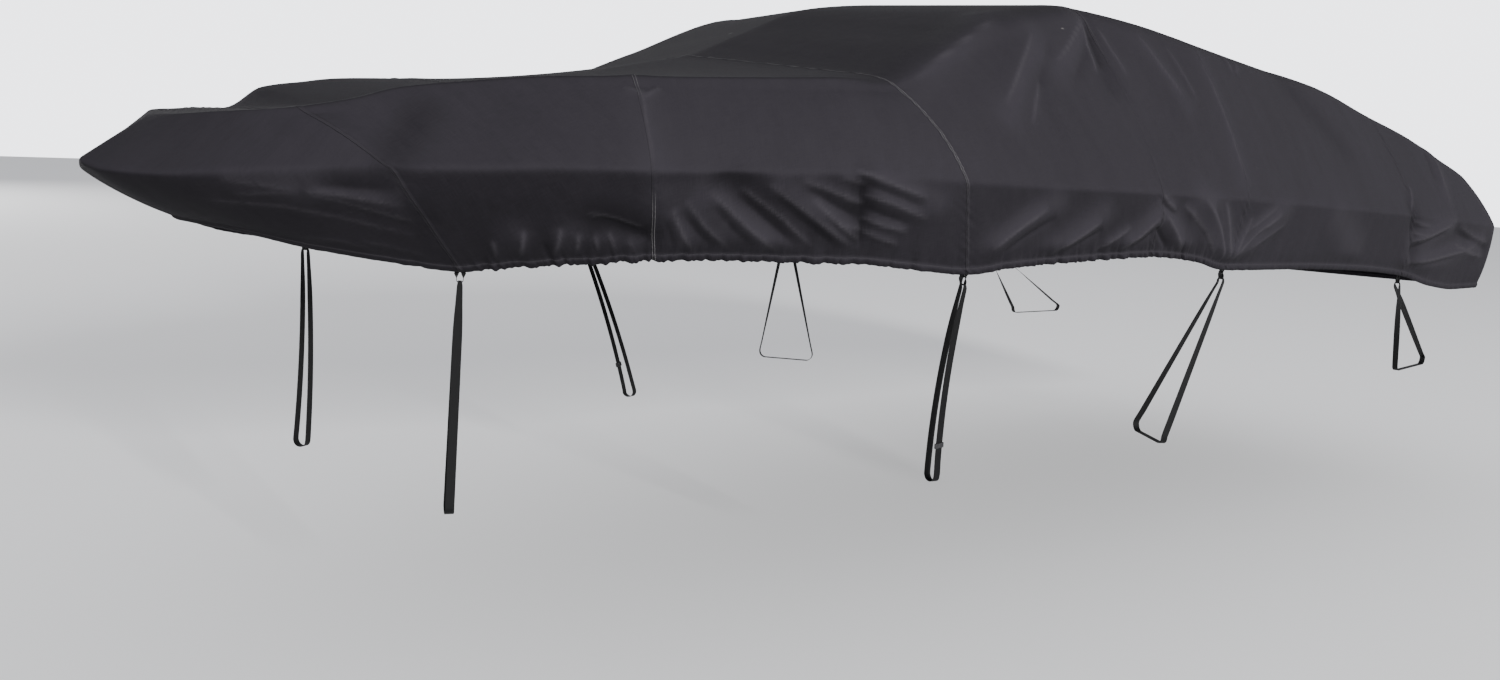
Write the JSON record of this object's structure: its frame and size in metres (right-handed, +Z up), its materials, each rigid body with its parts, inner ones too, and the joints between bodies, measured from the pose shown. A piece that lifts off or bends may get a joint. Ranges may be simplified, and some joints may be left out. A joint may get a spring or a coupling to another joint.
{
  "type": "boat cover",
  "caption": "Fitted fabric cover for a small motor boat: sewn panels over a hollow, an elastic hem, and webbing tie-down straps hung from hem loops.",
  "frame": {"origin": "on the inner face of the cloth under its peak, where the cover is held up", "axes": "+X aft along the cover, +Y to starboard, +Z up"},
  "size_m": [6.35, 2.4786, 1.6699],
  "materials": {
    "woven_cloth": "dark grey woven polyester with a dull sheen, dusty in places",
    "webbing": "black flat woven webbing",
    "buckle": "black moulded slide with worn edges"
  },
  "bodies": {
    "root": {"panel_nose": "woven_cloth", "panel_fore": "woven_cloth", "panel_mid": "woven_cloth", "panel_rise": "woven_cloth", "panel_peak": "woven_cloth", "panel_aft": "woven_cloth", "panel_stern": "woven_cloth", "hem_loop_1_port": "webbing", "hem_loop_1_starboard": "webbing", "hem_loop_2_port": "webbing", "hem_loop_2_starboard": "webbing", "hem_loop_3_port": "webbing", "hem_loop_3_starboard": "webbing", "hem_loop_4_port": "webbing", "hem_loop_4_starboard": "webbing", "strap_1_port": "webbing", "strap_1_starboard": "webbing", "strap_2_port": "webbing", "strap_2_starboard": "webbing", "strap_3_port": "webbing", "strap_3_starboard": "webbing", "strap_4_port": "webbing", "strap_4_starboard": "webbing", "slide_2_port": "buckle", "slide_2_starboard": "buckle"}
  },
  "joints": []
}
